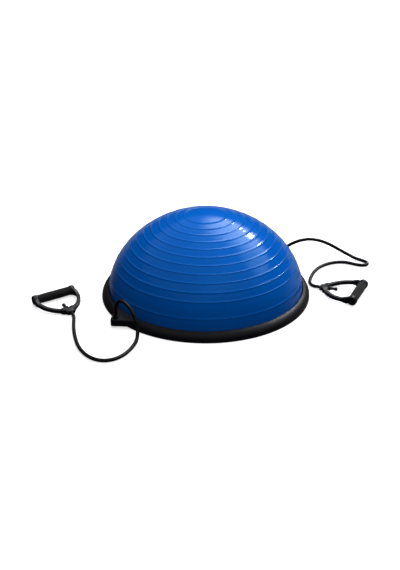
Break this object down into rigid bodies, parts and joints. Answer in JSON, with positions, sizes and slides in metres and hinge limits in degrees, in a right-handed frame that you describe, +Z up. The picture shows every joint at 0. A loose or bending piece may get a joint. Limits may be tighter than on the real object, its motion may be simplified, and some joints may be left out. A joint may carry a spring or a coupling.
{
  "type": "balance dome trainer",
  "caption": "Ribbed inflatable half dome on a rigid round base, with a stretch tube and a D-shaped handle on each of two opposite lugs.",
  "frame": {"origin": "centre of the base's flat underside, on the ground", "axes": "+Z up through the top of the dome; X through the two tube lugs; +Y completes a right-handed frame, towards the air valve"},
  "size_m": [0.982, 0.643, 0.2475],
  "materials": {
    "dome_pvc": "satin",
    "ring_plastic": "satin, fine moulded grain",
    "plate_plastic": "matte moulded",
    "tube_rubber": "smooth latex, soft sheen",
    "valve_rubber": "satin",
    "stopper_plastic": "satin",
    "handle_plastic": "satin, moulded",
    "grip_foam": "ribbed closed-cell foam",
    "foot_rubber": "matte",
    "screw_steel": "plain"
  },
  "bodies": {
    "root": {"base_ring": "ring_plastic", "base_plate": "plate_plastic", "dome_bladder": "dome_pvc", "bladder_floor": "dome_pvc", "valve_grommet": "valve_rubber", "plate_screw_01": "screw_steel", "plate_screw_02": "screw_steel", "plate_screw_03": "screw_steel", "plate_screw_04": "screw_steel", "plate_screw_05": "screw_steel", "plate_screw_06": "screw_steel", "plate_screw_07": "screw_steel", "plate_screw_08": "screw_steel", "foot_pad_1": "foot_rubber", "foot_pad_2": "foot_rubber", "foot_pad_3": "foot_rubber", "foot_pad_4": "foot_rubber", "foot_pad_5": "foot_rubber", "foot_pad_6": "foot_rubber", "lug_bush_left": "tube_rubber", "anchor_plug_left": "stopper_plastic", "tube_left": "tube_rubber", "tube_stop_left": "stopper_plastic", "lug_bush_right": "tube_rubber", "anchor_plug_right": "stopper_plastic", "tube_right": "tube_rubber", "tube_stop_right": "stopper_plastic"},
    "air_plug": {"air_plug": "stopper_plastic"},
    "handle_left": {"handle_bow_left": "handle_plastic", "grip_core_left": "handle_plastic", "grip_cap_left_a": "handle_plastic", "grip_cap_left_b": "handle_plastic"},
    "grip_left": {"grip_sleeve_left": "grip_foam"},
    "handle_right": {"handle_bow_right": "handle_plastic", "grip_core_right": "handle_plastic", "grip_cap_right_a": "handle_plastic", "grip_cap_right_b": "handle_plastic"},
    "grip_right": {"grip_sleeve_right": "grip_foam"}
  },
  "joints": [
    {"name": "handle_left_swivel", "type": "hinge", "parent": "root", "child": "handle_left", "pos_m": [-0.37543, 0.14176, 0.008], "axis": [-0.1043, -0.9924, -0.065], "continuous": true},
    {"name": "grip_left_spin", "type": "hinge", "parent": "handle_left", "child": "grip_left", "pos_m": [-0.365, 0.241, 0.0145], "axis": [-0.9945, 0.1045, 0], "continuous": true},
    {"name": "handle_right_swivel", "type": "hinge", "parent": "root", "child": "handle_right", "pos_m": [0.27183, -0.21456, 0.008], "axis": [-0.4217, 0.9044, -0.065], "continuous": true},
    {"name": "grip_right_spin", "type": "hinge", "parent": "handle_right", "child": "grip_right", "pos_m": [0.314, -0.305, 0.0145], "axis": [0.9063, 0.4226, 0], "continuous": true},
    {"name": "air_plug_pull", "type": "slide", "parent": "root", "child": "air_plug", "axis": [0, 0.93, 0.3675], "range_m": [0, 0.02]}
  ]
}
